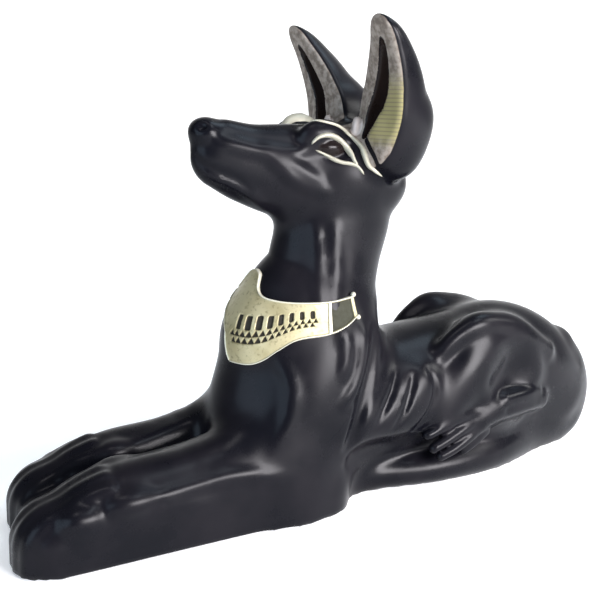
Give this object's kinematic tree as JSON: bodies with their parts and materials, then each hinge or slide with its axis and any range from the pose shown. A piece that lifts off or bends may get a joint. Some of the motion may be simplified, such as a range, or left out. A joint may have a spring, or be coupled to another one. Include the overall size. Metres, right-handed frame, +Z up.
{
  "type": "anubis jackal figure",
  "caption": "Reclining jackal figure with upright ears, a gilt collar and forelegs stretched ahead; stands on its flat underside as a tabletop ornament.",
  "frame": {"origin": "on the flat underside, below the middle of the length and width", "axes": "+Z up; the jackal faces -Y and its left side is +X"},
  "size_m": [0.0664, 0.2672, 0.1776],
  "materials": {
    "black_gloss": "black lacquered cast resin with gold painted ears, eye lines and collar"
  },
  "bodies": {
    "root": {"jackal_figure": "black_gloss"}
  },
  "joints": []
}
